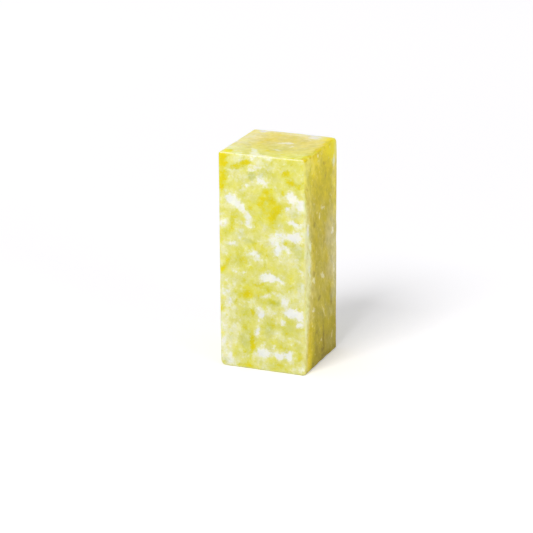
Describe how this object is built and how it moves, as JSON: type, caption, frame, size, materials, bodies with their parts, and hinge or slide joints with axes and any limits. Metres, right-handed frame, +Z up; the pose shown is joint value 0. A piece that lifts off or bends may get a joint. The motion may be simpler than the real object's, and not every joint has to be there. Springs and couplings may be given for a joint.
{
  "type": "seal stone blank",
  "caption": "Solid polished block of mottled yellow translucent stone, a tall square prism with rounded edges that stands on its flat base.",
  "frame": {"origin": "centre of the base, on the plane that the block stands on", "axes": "+Z up along the block's length; -Y is the front face, the broad face to the left in the picture; +X is the right face, the shaded face to the right in the picture"},
  "size_m": [0.025, 0.025, 0.061],
  "materials": {
    "polished_yellow_stone": "polished, slightly translucent, mottled yellow, cream white and pale grey-green"
  },
  "bodies": {
    "root": {"seal_stone": "polished_yellow_stone"}
  },
  "joints": []
}
